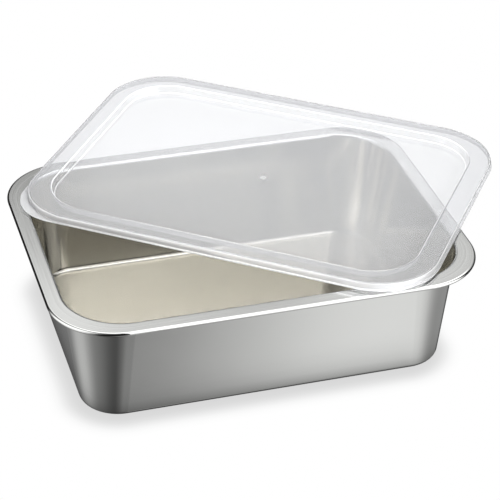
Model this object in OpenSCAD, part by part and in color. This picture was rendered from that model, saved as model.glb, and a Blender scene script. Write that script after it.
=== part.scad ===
// Covered dough proofing container: a deep-drawn steel pan with a flat rim
// and a rolled edge, and a one-piece translucent moulded lid that lies askew
// on the rim. Millimetres. The origin is the middle of the pan's base, +Z up,
// +X along the pan's long side.

/* [Pan] */
// Length of the pan, over its rolled edge
pan_l = 320; // [240:5:420]
// Width of the pan, over its rolled edge
pan_w = 240; // [180:5:320]
// Height of the pan, from its base to the top of its rim
pan_h = 88; // [45:1:150]
// Thickness of the steel sheet
sheet_t = 0.8; // [0.5:0.1:1.2]
// Corner radius of the rim, seen from above
rim_r = 49; // [40:1:65]
// Width of the flat rim, from its outer edge to the opening
rim_w = 12; // [9:0.5:15]
// Diameter of the rolled edge under the rim
roll_d = 3.2; // [2.8:0.1:4]
// Corner radius of the opening, seen from above
mouth_r = 44.5; // [36:0.5:58]
// How far the walls lean in between the opening and the base
wall_lean = 10; // [4:0.5:14]
// Corner radius of the base, seen from above
base_r = 29; // [20:1:34]
// Radius of the bend between the walls and the floor, inside
floor_bend = 4; // [2.5:0.5:8]
// Radius of the bend between the rim and the walls, on top
mouth_bend = 2.4; // [1.6:0.1:4]

/* [Lid] */
// How far the lid reaches past the pan's rim on each side
lid_over = 1.7; // [1.5:0.1:3]
// Thickness of the lid's wall
lid_t = 1.1; // [0.8:0.1:1.4]
// Height of the lid's skirt, from the top of its border to its lip
skirt_h = 6; // [4.5:0.5:10]
// Radius of the lid's outer top edge
edge_r = 2.2; // [1.6:0.1:3]
// Corner radius of the lid, seen from above
lid_r = 48.5; // [42:0.5:66]
// Width of the small lip at the foot of the skirt
lip_w = 1; // [0.6:0.1:3]
// How far the lifting tab stands out past the lip at its corner
tab_reach = 6; // [2:0.5:8]
// Width of the lid's flat border, from its edge to the sunk panel
border_w = 16.5; // [16.5:0.5:24]
// Depth of the sunk panel below the border
sink_d = 6; // [4.5:0.5:9]
// How far the sunk panel's wall leans in
sink_lean = 1.8; // [1:0.1:4]
// Corner radius of the sunk panel's edge, seen from above
sink_r = 37.8; // [34:0.2:44]

/* [Lid as it lies on the rim] */
// Lid's middle, along the pan's length
lid_x = 37.7; // [30:0.1:45]
// Lid's middle, across the pan's width
lid_y = 55.3; // [45:0.1:60]
// Turn of the lid, in degrees
lid_turn = -36.9; // [-42:0.1:-30]
// Gap left between the lid's underside and the rim
lid_gap = 0.3; // [0.3:0.1:1]

/* [Hidden] */
corner_n = 14;                     // steps round each corner
roll_r = roll_d / 2;
lid_l = pan_l + 2 * lid_over;      // lid at its top edge
lid_w = pan_w + 2 * lid_over;
rest_z = pan_h + lid_gap + lid_t + sink_d;  // top of the lid's border

// ---- outlines and skins -------------------------------------------------

function unit(v) = v / norm(v);

// points of the arc of radius r that rounds the corner a-p-b
function bend(a, p, b, r, n) =
    let (u = unit(a - p), v = unit(b - p), h = acos(u * v) / 2,
         o = p + unit(u + v) * r / sin(h),
         s = p + u * r / tan(h), e = p + v * r / tan(h),
         t0 = atan2(s[1] - o[1], s[0] - o[0]),
         d0 = atan2(e[1] - o[1], e[0] - o[0]) - t0,
         d = d0 > 180 ? d0 - 360 : d0 < -180 ? d0 + 360 : d0)
    [for (i = [0:n]) o + r * [cos(t0 + d * i / n), sin(t0 + d * i / n)]];

// points of an arc about c, from angle t0 to t1
function arc(c, r, t0, t1, n) =
    [for (i = [0:n]) let (t = t0 + (t1 - t0) * i / n) c + r * [cos(t), sin(t)]];

// rounded rectangle with half sizes hx, hy and one radius for each corner
function ring(hx, hy, r) =
    [for (c = [0:3])
        let (sx = (c == 0 || c == 3) ? 1 : -1, sy = c < 2 ? 1 : -1)
        for (i = [0:corner_n])
            let (t = c * 90 + 90 * i / corner_n)
            [sx * (hx - r[c]) + r[c] * cos(t), sy * (hy - r[c]) + r[c] * sin(t)]];

// closed skin over rings of equal length, with a flat face at each end
module skin(rings) {
    m = len(rings[0]);
    k = len(rings);
    pts = [for (g = rings) for (p = g) p];
    faces = concat(
        [[for (i = [0:m - 1]) i]],
        [[for (i = [m - 1:-1:0]) (k - 1) * m + i]],
        [for (j = [0:k - 2]) for (i = [0:m - 1]) let (q = (i + 1) % m)
            [j * m + i, (j + 1) * m + i, (j + 1) * m + q]],
        [for (j = [0:k - 2]) for (i = [0:m - 1]) let (q = (i + 1) % m)
            [j * m + i, (j + 1) * m + q, j * m + q]]);
    polyhedron(points = pts, faces = faces, convexity = 10);
}

// ---- pan ----------------------------------------------------------------
// A profile point is [inset from the rim's outer edge, height].

// inset and corner radius of the wall's outside at height z
function wall_in(z) = rim_w + wall_lean * (1 - z / pan_h);
function wall_r(z) = base_r + (mouth_r - base_r) * z / pan_h;

// corner radius of the pan's outline at a profile point
function pan_r(p) =
    p[0] >= wall_in(p[1])
        ? wall_r(p[1]) - (p[0] - wall_in(p[1]))
        : wall_r(p[1]) + (wall_in(p[1]) - p[0]) * (rim_r - mouth_r) / rim_w;

lean = atan(wall_lean / pan_h);
side_t = sheet_t / cos(lean);      // the sheet measured level across the wall
mid_in = rim_w + wall_lean + floor_bend + 3 * sheet_t;

pan_profile = concat(
    // outside: base, bend, wall, bend under the rim
    [[mid_in, 0]],
    bend([mid_in, 0], [wall_in(0), 0], [wall_in(pan_h), pan_h],
         floor_bend + sheet_t, 6),
    [for (f = [0.35, 0.7]) [wall_in(pan_h * f), pan_h * f]],
    bend([wall_in(0), 0], [wall_in(pan_h - sheet_t), pan_h - sheet_t],
         [0, pan_h - sheet_t], mouth_bend - sheet_t, 4),
    // rolled edge: its inside, then its outside
    arc([roll_r, pan_h - roll_r], roll_r - sheet_t, 90, 330, 9),
    arc([roll_r, pan_h - roll_r], roll_r, 330, 90, 11),
    // inside: bend at the opening, wall, bend, floor
    bend([roll_r, pan_h], [wall_in(pan_h) + side_t, pan_h],
         [wall_in(0) + side_t, 0], mouth_bend, 5),
    [for (f = [0.7, 0.35]) [wall_in(pan_h * f) + side_t, pan_h * f]],
    bend([wall_in(pan_h) + side_t, pan_h], [wall_in(sheet_t) + side_t, sheet_t],
         [mid_in, sheet_t], floor_bend, 6),
    [[mid_in, sheet_t]]);

module steel_pan()
    color([0.74, 0.75, 0.74])
    skin([for (p = pan_profile)
        [for (q = ring(pan_l / 2 - p[0], pan_w / 2 - p[0],
                       [for (c = [0:3]) pan_r(p)]))
            [q[0], q[1], p[1]]]]);

// ---- lid ----------------------------------------------------------------
// A profile point is [inset from the lid's top edge, height from the top of
// its border, how much of the tab the ring carries].

// corner radius of the lid's outline at an inset
function lid_corner(u) =
    u < 0 ? lid_r - u
    : u < border_w ? lid_r + (sink_r - lid_r) * u / border_w
    : sink_r - (u - border_w);

// same points with the tab's share added
function tab(points, share) = [for (p = points) [p[0], p[1], share]];

sink_in = border_w + sink_lean;
mid_lid = sink_in + 6;
lip_out = -lip_w;

lid_profile = concat(
    // underside: sunk panel, its wall, border, skirt, lip
    tab([[mid_lid, -sink_d - lid_t]], 0),
    tab(bend([mid_lid, -sink_d - lid_t],
             [sink_in - lid_t, -sink_d - lid_t],
             [border_w - lid_t, -lid_t], 1.2 + lid_t / 2, 4), 0),
    tab(bend([sink_in - lid_t, -sink_d - lid_t],
             [border_w - lid_t, -lid_t], [lid_t, -lid_t], 0.5, 2), 0),
    tab(bend([border_w - lid_t, -lid_t], [lid_t, -lid_t],
             [lid_t, -skirt_h], edge_r - lid_t, 4), 0),
    tab([[lid_t, -skirt_h]], 0),
    // lip and tab: underside, rounded edge, top
    tab(bend([lid_t, -skirt_h], [lip_out, -skirt_h],
             [lip_out, -skirt_h + lid_t], lid_t * 0.45, 3), 1),
    tab(bend([lip_out, -skirt_h], [lip_out, -skirt_h + lid_t],
             [lid_t, -skirt_h + lid_t], lid_t * 0.45, 3), 1),
    // outside: skirt, top edge, border, wall of the sunk panel, panel
    tab([[0, -skirt_h + lid_t]], 0),
    tab(bend([0, -skirt_h], [0, 0], [border_w, 0], edge_r, 6), 0),
    tab(bend([0, 0], [border_w, 0], [sink_in, -sink_d], 1.2, 4), 0),
    tab(bend([border_w, 0], [sink_in, -sink_d], [mid_lid, -sink_d], 1.2, 4), 0),
    tab([[mid_lid, -sink_d]], 0));

module plastic_lid()
    color([0.93, 0.94, 0.95, 0.45])
    translate([lid_x, lid_y, rest_z])
    rotate([0, 0, lid_turn])
    skin([for (p = lid_profile)
        let (r = lid_corner(p[0]),
             rt = r - p[2] * tab_reach / (sqrt(2) - 1))
        [for (q = ring(lid_l / 2 - p[0], lid_w / 2 - p[0], [r, r, rt, r]))
            [q[0], q[1], p[1]]]]);

steel_pan();
plastic_lid();
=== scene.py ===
import math

import bmesh
import bpy
from mathutils import Matrix, Vector


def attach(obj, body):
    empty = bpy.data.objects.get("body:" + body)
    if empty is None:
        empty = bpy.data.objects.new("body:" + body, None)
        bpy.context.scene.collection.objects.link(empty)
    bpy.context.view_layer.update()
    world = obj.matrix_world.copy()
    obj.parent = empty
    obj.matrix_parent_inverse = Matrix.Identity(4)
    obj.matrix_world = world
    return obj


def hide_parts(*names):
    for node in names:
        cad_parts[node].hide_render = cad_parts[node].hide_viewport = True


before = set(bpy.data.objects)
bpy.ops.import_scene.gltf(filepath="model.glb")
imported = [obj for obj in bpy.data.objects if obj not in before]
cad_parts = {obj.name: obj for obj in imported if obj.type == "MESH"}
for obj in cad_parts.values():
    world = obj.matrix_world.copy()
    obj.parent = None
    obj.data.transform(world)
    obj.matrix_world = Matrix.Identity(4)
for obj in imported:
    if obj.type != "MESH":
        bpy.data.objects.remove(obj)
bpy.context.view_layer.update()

# ---------------------------------------------------------------- sizes, mm
# The same dimensions as the CAD pieces, so each detailed piece lies on its
# own solid's surface.
PAN_L, PAN_W, PAN_H = 320.0, 240.0, 88.0
SHEET_T = 0.8
RIM_R, RIM_W, ROLL_R = 49.0, 12.0, 1.6
MOUTH_R, WALL_LEAN, BASE_R = 44.5, 10.0, 29.0
FLOOR_BEND, MOUTH_BEND = 4.0, 2.4

LID_OVER, LID_T, SKIRT_H, EDGE_R = 1.7, 1.1, 6.0, 2.2
LID_R, LIP_W, TAB_REACH = 48.5, 1.0, 6.0
BORDER_W, SINK_D, SINK_LEAN, SINK_R = 16.5, 6.0, 1.8, 37.8
LID_X, LID_Y, LID_TURN, LID_GAP = 37.7, 55.3, -36.9, 0.3
LID_L, LID_W = PAN_L + 2 * LID_OVER, PAN_W + 2 * LID_OVER
REST_Z = PAN_H + LID_GAP + LID_T + SINK_D


# ---------------------------------------------------------------- outlines
def unit(v):
    d = math.hypot(*v)
    return (v[0] / d, v[1] / d)


def bend(a, p, b, r, n):
    """Points of the arc of radius r that rounds the corner a-p-b."""
    u, v = unit((a[0] - p[0], a[1] - p[1])), unit((b[0] - p[0], b[1] - p[1]))
    h = math.acos(max(-1, min(1, u[0] * v[0] + u[1] * v[1]))) / 2
    w = unit((u[0] + v[0], u[1] + v[1]))
    o = (p[0] + w[0] * r / math.sin(h), p[1] + w[1] * r / math.sin(h))
    s = (p[0] + u[0] * r / math.tan(h), p[1] + u[1] * r / math.tan(h))
    e = (p[0] + v[0] * r / math.tan(h), p[1] + v[1] * r / math.tan(h))
    t0 = math.atan2(s[1] - o[1], s[0] - o[0])
    d = math.atan2(e[1] - o[1], e[0] - o[0]) - t0
    d = d - 2 * math.pi if d > math.pi else d + 2 * math.pi if d < -math.pi else d
    return [(o[0] + r * math.cos(t0 + d * i / n), o[1] + r * math.sin(t0 + d * i / n))
            for i in range(n + 1)]


def arc(c, r, t0, t1, n):
    out = []
    for i in range(n + 1):
        t = math.radians(t0 + (t1 - t0) * i / n)
        out.append((c[0] + r * math.cos(t), c[1] + r * math.sin(t)))
    return out


def steps(a, b, n):
    """n - 1 points between a and b."""
    return [tuple(a[k] + (b[k] - a[k]) * i / n for k in range(len(a)))
            for i in range(1, n)]


CORNER_N, LONG_N, WIDE_N = 28, 16, 12     # steps round a corner, along a long and a short side


def ring(hx, hy, r):
    """Rounded rectangle with one radius for each corner, anticlockwise from
    the upper end of the +x side, as points with their directions."""
    pts = []
    for c in range(4):
        sx, sy = (1 if c in (0, 3) else -1), (1 if c < 2 else -1)
        cx, cy = sx * (hx - r[c]), sy * (hy - r[c])
        for i in range(CORNER_N + 1):
            t = math.radians(c * 90 + 90 * i / CORNER_N)
            pts.append((cx + r[c] * math.cos(t), cy + r[c] * math.sin(t),
                        -math.sin(t), math.cos(t)))
        # the straight side that follows
        d = (c + 1) % 4
        nx, ny = (1 if d in (0, 3) else -1), (1 if d < 2 else -1)
        t = math.radians(d * 90)
        end = (nx * (hx - r[d]) + r[d] * math.cos(t), ny * (hy - r[d]) + r[d] * math.sin(t))
        for x, y in steps(pts[-1][:2], end, LONG_N if c in (0, 2) else WIDE_N):
            pts.append((x, y, -math.sin(t), math.cos(t)))
    return pts


def skin(name, profile, outline, place=Matrix()):
    """Closed mesh swept along a profile of [inset, height, ...] points.
    outline(p) gives the ring at a profile point. The normals are the swept
    surface's own, so a small bend between two flats shades as a bend."""
    n = len(profile)
    rings, tangents, along = [], [], [0.0]
    for j, p in enumerate(profile):
        # the profile's direction: a long flat outweighs the bend beside it
        du = dz = 0.0
        for a, b in ((j - 1, j), (j, j + 1)):
            if a < 0 or b >= n:
                continue
            eu, ez = profile[b][0] - profile[a][0], profile[b][1] - profile[a][1]
            size = math.hypot(eu, ez)
            if size > 1e-9:
                du, dz = du + eu * size, dz + ez * size
        size = math.hypot(du, dz)
        du, dz = du / size, dz / size
        near, far = list(p), list(p)
        near[0], near[1] = p[0] - 0.01 * du, p[1] - 0.01 * dz
        far[0], far[1] = p[0] + 0.01 * du, p[1] + 0.01 * dz
        here, before, after = outline(p), outline(near), outline(far)
        rings.append([(q[0], q[1], p[1]) for q in here])
        tangents.append([Vector((tx, ty, 0)).cross(
            Vector((b[0] - a[0], b[1] - a[1], 0.02 * dz))).normalized()
            for (_, _, tx, ty), a, b in zip(here, before, after)])
        if j:
            along.append(along[-1] + math.hypot(p[0] - profile[j - 1][0], p[1] - profile[j - 1][1]))
    m = len(rings[0])
    bm = bmesh.new()
    vs = [[bm.verts.new(place @ Vector(p) / 1000.0) for p in g] for g in rings]
    uv = bm.loops.layers.uv.new("Sheet")
    first = [Vector(p) for p in rings[0]]
    walk = [0.0]
    for i in range(m):
        walk.append(walk[-1] + (first[(i + 1) % m] - first[i]).length)
    for j in range(n - 1):
        for i in range(m):
            q = (i + 1) % m
            f = bm.faces.new((vs[j][i], vs[j][q], vs[j + 1][q], vs[j + 1][i]))
            u0, u1 = walk[i] / walk[-1], walk[i + 1] / walk[-1]
            for loop, u, v in zip(f.loops, (u0, u1, u1, u0), (j, j, j + 1, j + 1)):
                loop[uv].uv = (u, along[v] / 100.0)
    bm.faces.new(list(reversed(vs[0])))
    bm.faces.new(vs[-1])
    me = bpy.data.meshes.new(name)
    bm.to_mesh(me)
    bm.free()
    me.polygons.foreach_set("use_smooth", [True] * len(me.polygons))
    turn = place.to_3x3()
    me.normals_split_custom_set_from_vertices([tuple(turn @ t) for g in tangents for t in g])
    ob = bpy.data.objects.new(name, me)
    bpy.context.scene.collection.objects.link(ob)
    return ob


def mark(ob, name, values):
    """Writes one value for each ring as an attribute of its points."""
    m = len(ob.data.vertices) // len(values)
    a = ob.data.attributes.new(name, "FLOAT", "POINT")
    a.data.foreach_set("value", [v for v in values for _ in range(m)])


# ---------------------------------------------------------------- steel pan
def wall_in(z):
    return RIM_W + WALL_LEAN * (1 - z / PAN_H)


def wall_r(z):
    return BASE_R + (MOUTH_R - BASE_R) * z / PAN_H


def pan_r(p):
    w = wall_in(p[1])
    if p[0] >= w:
        return wall_r(p[1]) - (p[0] - w)
    return wall_r(p[1]) + (w - p[0]) * (RIM_R - MOUTH_R) / RIM_W


def pan_profile():
    side_t = SHEET_T / math.cos(math.atan(WALL_LEAN / PAN_H))
    mid_in = RIM_W + WALL_LEAN + FLOOR_BEND + 3 * SHEET_T
    p = []

    def part(kind, pts):
        p.extend((q[0], q[1], kind) for q in pts)

    part("wall", [(mid_in, 0.0)])
    part("wall", bend((mid_in, 0), (wall_in(0), 0), (wall_in(PAN_H), PAN_H),
                      FLOOR_BEND + SHEET_T, 12))
    part("wall", [(wall_in(PAN_H * f), PAN_H * f) for f in (0.2, 0.35, 0.5, 0.65, 0.8)])
    part("wall", bend((wall_in(0), 0), (wall_in(PAN_H - SHEET_T), PAN_H - SHEET_T),
                      (0, PAN_H - SHEET_T), MOUTH_BEND - SHEET_T, 8))
    part("wall", steps(p[-1][:2], (ROLL_R, PAN_H - SHEET_T), 3))
    part("roll", arc((ROLL_R, PAN_H - ROLL_R), ROLL_R - SHEET_T, 90, 330, 20))
    part("roll", arc((ROLL_R, PAN_H - ROLL_R), ROLL_R, 330, 90, 30)[:-1])
    b = bend((ROLL_R, PAN_H), (wall_in(PAN_H) + side_t, PAN_H),
             (wall_in(0) + side_t, 0), MOUTH_BEND, 12)
    part("rim", [(ROLL_R, PAN_H)] + steps((ROLL_R, PAN_H), b[0], 6))
    part("mouth", b)
    part("inside", [(wall_in(PAN_H * f) + side_t, PAN_H * f) for f in (0.8, 0.65, 0.5, 0.35, 0.2)])
    part("inside", bend((wall_in(PAN_H) + side_t, PAN_H), (wall_in(SHEET_T) + side_t, SHEET_T),
                        (mid_in, SHEET_T), FLOOR_BEND, 12))
    part("inside", [(mid_in, SHEET_T)])
    return p


def make_pan():
    profile = pan_profile()
    ob = skin("pan_shell", profile,
              lambda p: ring(PAN_L / 2 - p[0], PAN_W / 2 - p[0], [pan_r(p)] * 4))
    mark(ob, "Polish", [1.0 if p[2] in ("roll", "mouth") else 0.0 for p in profile])
    mark(ob, "Rim", [1.0 if p[2] in ("rim", "roll") else 0.0 for p in profile])
    mark(ob, "Inside", [1.0 if p[2] == "inside" else 0.0 for p in profile])
    return ob


# ---------------------------------------------------------------- lid
def lid_corner(u):
    if u < 0:
        return LID_R - u
    if u < BORDER_W:
        return LID_R + (SINK_R - LID_R) * u / BORDER_W
    return SINK_R - (u - BORDER_W)


def lid_profile():
    """Profile points of [inset, height, share of the tab, clear, shade]. The tight bends are milky, partly
    real haze and partly painted highlight, as their lighter shade paints highlight lines; the border's
    darker shade is painted shade, and the skirt is darker than the panel."""
    sink_in = BORDER_W + SINK_LEAN
    mid = sink_in + 6
    out = -LIP_W
    t, d, s = LID_T, SINK_D, SKIRT_H
    p = []

    def between(stops, f):
        f *= len(stops) - 1
        k = min(int(f), max(0, len(stops) - 2))
        return stops[k] + (stops[min(k + 1, len(stops) - 1)] - stops[k]) * (f - k)

    def part(pts, share, clear, shade):
        for i, q in enumerate(pts):
            f = i / max(1, len(pts) - 1)
            p.append((q[0], q[1], share, between(clear, f), between(shade, f)))

    # The shade column paints light and shade into the colour: painted shade on the border, painted
    # highlight lines on the bends, painted light on the skirt.
    panel, edge, wall, side, lip = 0.80, 0.78, 0.79, 0.69, 0.70
    part([(mid, -d - t)], 0, [panel], [0.31])
    part(bend((mid, -d - t), (sink_in - t, -d - t), (BORDER_W - t, -t), 1.2 + t / 2, 8), 0,
         [panel, wall], [0.31, 0.6])
    part(bend((sink_in - t, -d - t), (BORDER_W - t, -t), (t, -t), 0.5, 5), 0,
         [wall, edge], [0.6, 0.0])
    part(bend((BORDER_W - t, -t), (t, -t), (t, -s), EDGE_R - t, 8), 0, [edge, side], [0.0, 0.9])
    part([(t, -s)], 0, [side], [0.9])
    part(bend((t, -s), (out, -s), (out, -s + t), t * 0.45, 5), 1, [side, lip, 0.45], [0.8])
    part(bend((out, -s), (out, -s + t), (t, -s + t), t * 0.45, 5), 1, [0.45, lip], [0.8, 0.5])
    part(bend((out, -s + t), (0, -s + t), (0, 0), 0.35, 4), 0, [lip, 0.55, side], [0.5, 0.9])
    part(bend((0, -s), (0, 0), (BORDER_W, 0), EDGE_R, 12), 0,
         [side, side, side, 0.46, edge, edge, edge], [0.9, 0.9, 0.9, 0.6, 0.2, 0.0, 0.0])
    part(bend((0, 0), (BORDER_W, 0), (sink_in, -d), 1.2, 8), 0,
         [edge, 0.5, 0.5, wall], [0.0, 0.5, 0.5, 0.6])
    part(bend((BORDER_W, 0), (sink_in, -d), (mid, -d), 1.2, 8), 0,
         [wall, 0.5, panel], [0.6, 0.6, 0.31])
    part([(mid, -d)], 0, [panel], [0.31])
    return p


def lid_place():
    return (Matrix.Translation((LID_X, LID_Y, REST_Z))
            @ Matrix.Rotation(math.radians(LID_TURN), 4, "Z"))


def make_lid():
    profile = lid_profile()

    def outline(p):
        r = lid_corner(p[0])
        rt = r - p[2] * TAB_REACH / (math.sqrt(2) - 1)
        return ring(LID_L / 2 - p[0], LID_W / 2 - p[0], [r, r, rt, r])

    ob = skin("lid_shell", profile, outline, lid_place())
    mark(ob, "Clear", [p[3] for p in profile])
    mark(ob, "Shade", [p[4] for p in profile])
    return ob


def make_gate():
    """The small mark that the moulding gate leaves in the middle of the panel."""
    profile = [(2.5, -0.3), (2.5, -0.02), (2.35, 0.08), (2.05, 0.16), (1.6, 0.16), (1.25, 0.08),
               (1.05, 0.0), (0.85, 0.0), (0.6, 0.07), (0.25, 0.09)]
    n = 32
    bm = bmesh.new()
    place = lid_place()
    vs = [[bm.verts.new(place @ Vector((r * math.cos(2 * math.pi * i / n),
                                        r * math.sin(2 * math.pi * i / n), z - SINK_D)) / 1000.0)
           for i in range(n)] for r, z in profile]
    for j in range(len(profile) - 1):
        for i in range(n):
            q = (i + 1) % n
            bm.faces.new((vs[j][i], vs[j][q], vs[j + 1][q], vs[j + 1][i]))
    bm.faces.new(list(reversed(vs[0])))
    bm.faces.new(vs[-1])
    me = bpy.data.meshes.new("gate_mark")
    bm.to_mesh(me)
    bm.free()
    me.polygons.foreach_set("use_smooth", [True] * len(me.polygons))
    ob = bpy.data.objects.new("gate_mark", me)
    bpy.context.scene.collection.objects.link(ob)
    mark(ob, "Clear", [0.1] * len(profile))
    mark(ob, "Shade", [1.0] * len(profile))
    return ob


# ---------------------------------------------------------------- materials
class Tree:
    """A material's node tree, with short ways to add and join nodes."""

    def __init__(self, name):
        self.m = bpy.data.materials.new(name)
        self.m.use_nodes = True
        self.t = self.m.node_tree
        self.bsdf = self.t.nodes["Principled BSDF"]
        self.out = self.t.nodes["Material Output"]

    def node(self, kind, **kw):
        n = self.t.nodes.new(kind)
        for k, v in kw.items():
            if k.startswith("in_"):
                n.inputs[int(k[3:]) if k[3:].isdigit() else k[3:]].default_value = v
            else:
                setattr(n, k, v)
        return n

    def join(self, a, b):
        self.t.links.new(a, b)


class Maths:
    """Math nodes joined by plain calls."""

    def __init__(self, tree):
        self.t = tree

    def put(self, socket, v):
        if isinstance(v, (int, float)):
            socket.default_value = v
        else:
            self.t.links.new(v, socket)

    def op(self, kind, a, b=0.0, c=0.0):
        n = self.t.nodes.new("ShaderNodeMath")
        n.operation = kind
        for i, v in enumerate((a, b, c)):
            self.put(n.inputs[i], v)
        return n.outputs[0]

    def add(self, *v):
        out = v[0]
        for x in v[1:]:
            out = self.op("ADD", out, x)
        return out

    def mul(self, *v):
        out = v[0]
        for x in v[1:]:
            out = self.op("MULTIPLY", out, x)
        return out

    def sub(self, a, b):
        return self.op("SUBTRACT", a, b)

    def rise(self, v, a, b, lo=0.0, hi=1.0):
        """lo below a, hi above b, smooth between."""
        n = self.t.nodes.new("ShaderNodeMapRange")
        n.interpolation_type = "SMOOTHSTEP"
        n.clamp = True
        self.put(n.inputs["Value"], v)
        for k, x in (("From Min", a), ("From Max", b), ("To Min", lo), ("To Max", hi)):
            n.inputs[k].default_value = x
        return n.outputs["Result"]

    def band(self, v, a, b, s):
        """1 between a and b, with edges s wide."""
        return self.mul(self.rise(v, a - s / 2, a + s / 2), self.rise(v, b - s / 2, b + s / 2, 1, 0))

    def ramp(self, v, lo, hi, stops):
        """Straight lines through (position, value) stops; v runs lo to hi."""
        n = self.t.nodes.new("ShaderNodeMapRange")
        self.put(n.inputs["Value"], v)
        n.inputs["From Min"].default_value, n.inputs["From Max"].default_value = lo, hi
        r = self.t.nodes.new("ShaderNodeValToRGB")
        e = r.color_ramp.elements
        while len(e) > 1:
            e.remove(e[-1])
        top = max(x for _, x in stops)
        for i, (at, x) in enumerate(stops):
            f = (at - lo) / (hi - lo)
            if i == 0:
                e[0].position = f
                s = e[0]
            else:
                s = e.new(f)
            s.color = (x / top, x / top, x / top, 1)
        self.t.links.new(n.outputs["Result"], r.inputs["Fac"])
        return self.mul(r.outputs["Color"], top)


def noise(T, vector, scale, detail=2.0, rough=0.5):
    n = T.node("ShaderNodeTexNoise", in_Scale=scale, in_Detail=detail, in_Roughness=rough)
    T.join(vector, n.inputs["Vector"])
    return n.outputs["Fac"]


def steel_material():
    """Satin sheet steel: a fine grain all over, faint lines along the rim,
    and the rolled edge and the bend at the opening rubbed bright."""
    T = Tree("satin_steel")
    M = Maths(T.t)
    b = T.bsdf
    b.inputs["Metallic"].default_value = 1.0
    place = T.node("ShaderNodeTexCoord").outputs["Object"]
    polish = T.node("ShaderNodeAttribute", attribute_name="Polish").outputs["Fac"]
    rim = T.node("ShaderNodeAttribute", attribute_name="Rim").outputs["Fac"]
    inside = T.node("ShaderNodeAttribute", attribute_name="Inside").outputs["Fac"]
    # lines that run round the pan, without a seam
    uv = T.node("ShaderNodeUVMap", uv_map="Sheet")
    part = T.node("ShaderNodeSeparateXYZ")
    T.join(uv.outputs[0], part.inputs[0])
    turn = M.mul(part.outputs[0], 2 * math.pi)
    round_ = T.node("ShaderNodeCombineXYZ")
    T.join(M.mul(M.op("COSINE", turn), 1.6), round_.inputs[0])
    T.join(M.mul(M.op("SINE", turn), 1.6), round_.inputs[1])
    T.join(M.mul(part.outputs[1], 150.0), round_.inputs[2])
    lines = M.sub(noise(T, round_.outputs[0], 1.0, 3.0, 0.6), 0.5)
    grain = M.sub(noise(T, place, 1100.0, 2.0, 0.6), 0.5)
    cloud = M.sub(noise(T, place, 26.0, 3.0, 0.55), 0.5)
    wave = M.sub(noise(T, place, 14.0, 1.0), 0.5)
    satin = M.sub(1.0, polish)
    rough = M.add(0.13, M.mul(cloud, 0.04), M.mul(grain, 0.012, satin),
                  M.mul(lines, rim, 0.08), M.mul(polish, -0.05))
    T.join(rough, b.inputs["Roughness"])
    tone = T.node("ShaderNodeMix", data_type="RGBA")
    tone.inputs[6].default_value = (0.615, 0.617, 0.604, 1)
    tone.inputs[7].default_value = (0.705, 0.711, 0.696, 1)
    T.join(M.add(0.5, M.mul(cloud, 0.5), M.mul(lines, rim, 2.8)),
           tone.inputs[0])
    # Painted shade: the inside of the pan is darkened and warmed in its base colour.
    inside_painted_shade = T.node("ShaderNodeMix", data_type="RGBA", blend_type="MULTIPLY")
    T.join(tone.outputs[2], inside_painted_shade.inputs[6])
    inside_painted_shade.inputs[7].default_value = (0.83, 0.80, 0.74, 1)
    T.join(inside, inside_painted_shade.inputs[0])
    T.join(inside_painted_shade.outputs[2], b.inputs["Base Color"])
    bump = T.node("ShaderNodeBump", in_Strength=1.0, in_Distance=1.0)
    T.join(M.add(M.mul(wave, 0.00003), M.mul(lines, rim, 0.000003)), bump.inputs["Height"])
    T.join(bump.outputs[0], b.inputs["Normal"])
    return T.m


def plastic_material():
    """Clear moulded plastic with the milky haze of many washes, thicker in its bends and its skirt. Its
    colour follows the Shade attribute, which paints shade on the border and highlight lines on the bends."""
    T = Tree("clear_plastic")
    M = Maths(T.t)
    b = T.bsdf
    place = T.node("ShaderNodeTexCoord").outputs["Object"]
    clear = T.node("ShaderNodeAttribute", attribute_name="Clear").outputs["Fac"]
    shade = T.node("ShaderNodeAttribute", attribute_name="Shade").outputs["Fac"]
    cloud = M.sub(noise(T, place, 16.0, 1.0, 0.4), 0.5)
    fine = M.sub(noise(T, place, 900.0, 2.0, 0.6), 0.5)
    # Painted light and shade: the base colour runs from dark on the border to light on the bend lines and
    # the skirt, by the Shade attribute.
    tone = T.node("ShaderNodeMix", data_type="RGBA")
    tone.inputs[6].default_value = (0.700, 0.706, 0.722, 1)
    tone.inputs[7].default_value = (0.906, 0.910, 0.920, 1)
    T.join(M.add(shade, 0.05, M.mul(cloud, 0.08)), tone.inputs[0])
    T.join(tone.outputs[2], b.inputs["Base Color"])
    T.join(M.add(0.035, M.mul(cloud, 0.02), M.mul(fine, 0.02)), b.inputs["Roughness"])
    b.inputs["IOR"].default_value = 1.49
    T.join(clear, b.inputs["Transmission Weight"])
    bump = T.node("ShaderNodeBump", in_Strength=1.0, in_Distance=1.0)
    T.join(M.add(M.mul(cloud, 0.00003), M.mul(fine, 0.0000002)), bump.inputs["Height"])
    T.join(bump.outputs[0], b.inputs["Normal"])
    return T.m


# ---------------------------------------------------------------- the object
pan = make_pan()
pan.data.materials.append(steel_material())
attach(pan, "pan")
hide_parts("steel_pan")

lid = make_lid()
lid.data.materials.append(plastic_material())
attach(lid, "lid")
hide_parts("plastic_lid")

gate = make_gate()
gate.data.materials.append(lid.data.materials[0])
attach(gate, "lid")


# ---------------------------------------------------------------- stage
def plane(name, size, z):
    bm = bmesh.new()
    bmesh.ops.create_grid(bm, x_segments=1, y_segments=1, size=size)
    me = bpy.data.meshes.new(name)
    bm.to_mesh(me)
    bm.free()
    ob = bpy.data.objects.new(name, me)
    bpy.context.scene.collection.objects.link(ob)
    ob.location = (0, 0, z)
    return ob


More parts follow.
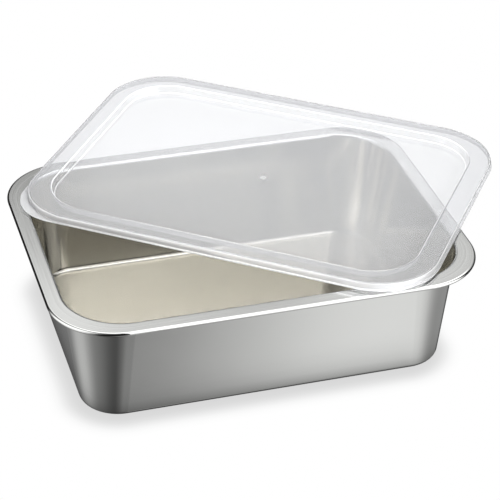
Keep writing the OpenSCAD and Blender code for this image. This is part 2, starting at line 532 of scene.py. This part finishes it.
def base_distance(T, M, hx, hy, cx=0.0):
    """Distance in metres from the rounded outline of the pan's base."""
    co = T.node("ShaderNodeTexCoord")
    xyz = T.node("ShaderNodeSeparateXYZ")
    T.join(co.outputs["Object"], xyz.inputs[0])
    q = [M.op("MAXIMUM", M.sub(M.op("ABSOLUTE", M.sub(xyz.outputs[i], c)), h), 0.0)
         for i, h, c in ((0, hx, cx), (1, hy, 0.0))]
    return M.sub(M.op("SQRT", M.add(M.mul(q[0], q[0]), M.mul(q[1], q[1]))), 0.029)


def floor():
    """White floor with a painted soft shadow round the pan's base, like the shade that an even light leaves
    there."""
    ob = plane("studio_floor", 6.0, -0.0003)
    T = Tree("floor_white_painted_shadow")
    M = Maths(T.t)
    # Painted shadow: the floor's emission darkens near the outline of the pan's base.
    d = base_distance(T, M, 0.1063, 0.069, -0.0024)
    tone = M.ramp(d, -0.03, 0.03, [
        (-0.03, 0.5), (-0.006, 0.67), (0.0, 0.69), (0.004, 0.712), (0.008, 0.765), (0.012, 0.85),
        (0.016, 0.935), (0.02, 0.98), (0.025, 1.0)])
    T.bsdf.inputs["Base Color"].default_value = (0, 0, 0, 1)
    T.bsdf.inputs["Specular IOR Level"].default_value = 0.0
    T.join(tone, T.bsdf.inputs["Emission Color"])
    T.bsdf.inputs["Emission Strength"].default_value = 1.0
    ob.data.materials.append(T.m)
    ob.visible_glossy = False
    # Painted reflection: a dark sheet that only glossy rays see, so the steel mirrors a dark edge where it
    # meets the floor.
    ob = plane("contact_shade", 0.6, -0.0001)
    T = Tree("contact_shade")
    M = Maths(T.t)
    d = base_distance(T, M, 0.1068, 0.069, -0.0022)
    shade = M.ramp(d, -0.01, 0.04, [(-0.01, 0.9), (0.001, 0.78), (0.005, 0.48), (0.012, 0.22),
                                    (0.02, 0.1), (0.03, 0.03), (0.039, 0.0)])
    clear = T.node("ShaderNodeBsdfTransparent")
    dark = T.node("ShaderNodeEmission", in_Color=(0.05, 0.05, 0.05, 1))
    mix = T.node("ShaderNodeMixShader")
    T.join(shade, mix.inputs[0])
    T.join(clear.outputs[0], mix.inputs[1])
    T.join(dark.outputs[0], mix.inputs[2])
    T.join(mix.outputs[0], T.out.inputs["Surface"])
    ob.data.materials.append(T.m)
    ob.visible_camera = ob.visible_diffuse = ob.visible_transmission = False
    ob.visible_shadow = False


def studio():
    """Soft boxes on a dark studio's dome: az is 0 in front of the pan and 90
    at its right, el is the height above the horizon."""
    world = bpy.data.worlds.new("studio")
    bpy.context.scene.world = world
    world.use_nodes = True
    t = world.node_tree
    t.nodes.clear()
    M = Maths(t)
    co = t.nodes.new("ShaderNodeTexCoord")
    xyz = t.nodes.new("ShaderNodeSeparateXYZ")
    t.links.new(co.outputs["Generated"], xyz.inputs[0])
    x, y, z = xyz.outputs
    deg = 180 / math.pi
    az = M.mul(M.op("ARCTAN2", x, M.mul(y, -1.0)), deg)
    back = M.mul(M.op("ARCTAN2", x, y), deg)
    el = M.mul(M.op("ARCSINE", z), deg)
    k = 1 / 0.66
    low = M.mul(k, M.ramp(az, -180, 180, [
        (-180, 0.177), (-158, 0.17), (-147, 0.225), (-126, 0.405), (-115, 0.437), (-104, 0.41),
        (-93, 0.31), (-81, 0.213), (-74, 0.18), (-60, 0.142), (-42, 0.086), (-31, 0.067),
        (-24, 0.065), (-12, 0.125), (-2, 0.208), (16.5, 0.205), (18.8, 0.31), (25.3, 0.69),
        (27.3, 0.72), (31, 0.635), (41, 0.62), (55, 0.515), (67, 0.375), (79, 0.28), (91, 0.243),
        (125, 0.235), (136, 0.05), (158, 0.04), (166, 0.24), (179.9, 0.177)]))
    low = M.mul(low, M.rise(el, -85, -60, 0.2, 1.0))
    path = t.nodes.new("ShaderNodeLightPath")
    deep = M.op("GREATER_THAN", path.outputs["Glossy Depth"], 1.5)
    first = M.mul(path.outputs["Is Glossy Ray"], M.sub(1.0, deep))
    high = M.add(
        # overhead, towards the back
        M.mul(M.band(back, -75, 75, 20),
              M.add(M.mul(M.rise(back, 10.6, 13.0, 1, 0), M.sub(1.0, M.mul(
                  M.rise(back, -13, -4, 0.9, 0.0), first)), M.ramp(el, 20, 90, [
                  (20, 0.02), (27, 0.14), (30, 0.44), (31.5, 0.54), (33, 0.70), (34, 1.06),
                  (34.8, 1.3), (37, 1.25), (41, 1.5), (46, 2.3), (60, 2.3), (68, 1.5), (76, 0.8),
                  (90, 0.6)])),
                    M.mul(M.rise(back, 10.6, 13.0), M.ramp(el, 20, 90, [
                        (20, 0.05), (25, 0.4), (28, 0.6), (31, 0.6), (32.3, 0.66), (33.5, 0.74), (35, 0.71),
                        (37, 0.85), (39, 1.3),
                        (46, 2.4), (60, 2.4), (68, 1.5), (76, 0.8), (90, 0.6)]),
                        M.ramp(back, 0, 90, [
                            (0, 1.2), (12.4, 1.2), (13.2, 1.11), (14, 1.07), (14.8, 1.03), (16.4, 0.99),
                            (18, 0.98), (19.2, 0.99), (20.4, 1.12), (21.4, 1.26), (22.4, 1.3),
                            (23.6, 1.26), (25.2, 1.2), (30, 1.1), (90, 1.0)])))),
        # front right
        M.mul(M.rise(az, 9, 12), M.rise(az, 62, 88, 1, 0), M.band(el, -24, 75, 8), 1.9),
        # left
        M.mul(M.rise(az, -138, -118), M.rise(az, -75, -35, 1, 0), M.band(el, -24, 70, 12), 1.5),
        # what the walls inside pass on to one another
        M.mul(deep, M.band(az, -75, 12, 30), M.band(el, 14, 70, 20), 1.1),
        # round the top
        M.mul(M.rise(el, 62, 80), 0.3),
        0.015)
    glow = M.add(M.mul(low, M.rise(el, -31, -25, 1, 0)), M.mul(high, M.rise(el, -31, -25)))
    # The lid takes light twice from what lies under it, so the boxes that the
    # rim mirrors are brighter there, and the room is white through the lid.
    under = M.add(M.mul(M.band(el, 23, 34, 4), M.ramp(back, -90, 90, [
        (-90, 0.0), (2, 0.1), (9, 0.3), (14, 0.8), (20, 1.8), (26, 2.0), (45, 0.6), (90, 0.0)])),
        M.mul(M.band(el, 46, 80, 6), M.rise(back, -60, -20), 1.6))
    through = path.outputs["Is Transmission Ray"]
    glow = M.add(M.mul(glow, M.add(1.0, M.mul(through, under)),
                       M.sub(1.0, M.mul(path.outputs["Is Diffuse Ray"], 0.15))),
                 M.mul(through, M.rise(el, 10, 24, 1, 0), 0.85))
    # What the lid alone bends aside is even and light.
    alone = M.mul(through, M.sub(1.0, M.op("GREATER_THAN", path.outputs["Glossy Depth"], 0.5)))
    glow = M.add(M.mul(glow, M.sub(1.0, alone)), M.mul(alone, 0.9))
    bg = t.nodes.new("ShaderNodeBackground")
    t.links.new(glow, bg.inputs["Color"])
    white = t.nodes.new("ShaderNodeBackground")
    white.inputs["Strength"].default_value = 1.0
    mix = t.nodes.new("ShaderNodeMixShader")
    t.links.new(path.outputs["Is Camera Ray"], mix.inputs[0])
    t.links.new(bg.outputs[0], mix.inputs[1])
    t.links.new(white.outputs[0], mix.inputs[2])
    out = t.nodes.new("ShaderNodeOutputWorld")
    t.links.new(mix.outputs[0], out.inputs["Surface"])


def lamp(name, where, aim, size, watts, shine):
    """Soft light on the lid alone: mirrored in its bends, or taken up by its haze."""
    d = bpy.data.lights.new(name, "AREA")
    d.shape = "DISK"
    d.size = size
    d.energy = watts
    ob = bpy.data.objects.new(name, d)
    bpy.context.scene.collection.objects.link(ob)
    ob.location = where
    ob.rotation_euler = (Vector(where) - Vector(aim)).to_track_quat("Z", "Y").to_euler()
    ob.visible_camera = ob.visible_transmission = False
    ob.visible_glossy = shine
    ob.visible_diffuse = not shine
    ob.light_linking.receiver_collection = lid_only


lid_only = bpy.data.collections.new("lid_only")
lid_only.objects.link(lid)
floor()
studio()
def at(az, el, dist):
    a, e = math.radians(az), math.radians(el)
    return (0.05 + dist * math.sin(a) * math.cos(e), 0.05 - dist * math.cos(a) * math.cos(e),
            0.09 + dist * math.sin(e))


lamp("lamp_top", at(170, 82, 1.5), at(0, 0, 0), 1.2, 3.4 * math.pi * math.pi * 0.36, True)
lamp("lamp_veil", (-0.005, 0.1, 0.38), (-0.005, 0.1, 0.09), 0.26, 1.6, False)
lamp("lamp_front", at(0, 8, 0.9), at(0, 0, 0), 0.4, 9.0, False)


# ---------------------------------------------------------------- camera
def camera():
    az, el, roll = map(math.radians, (-17.535, 32.7146, 1.4533))
    dist = 4.3134 * 0.32
    target = Vector((-0.0084, -0.1345, 0.2808)) * 0.32
    back = Vector((math.sin(az) * math.cos(el), -math.cos(az) * math.cos(el), math.sin(el)))
    right = (-back).cross(Vector((0, 0, 1))).normalized()
    up = right.cross(-back)
    r2 = right * math.cos(roll) + up * math.sin(roll)
    u2 = up * math.cos(roll) - right * math.sin(roll)
    m = Matrix((r2, u2, back)).transposed().to_4x4()
    m.translation = target + back * dist
    d = bpy.data.cameras.new("camera")
    d.sensor_width = 36.0
    d.lens = 1887.5753 / 500.0 * 36.0
    d.clip_start, d.clip_end = 0.05, 50.0
    ob = bpy.data.objects.new("camera", d)
    bpy.context.scene.collection.objects.link(ob)
    ob.matrix_world = m
    bpy.context.scene.camera = ob
    return ob


camera()
scene = bpy.context.scene
scene.view_settings.view_transform = "Standard"
scene.view_settings.look = "None"
scene.view_settings.exposure = 0.0
scene.view_settings.gamma = 1.0
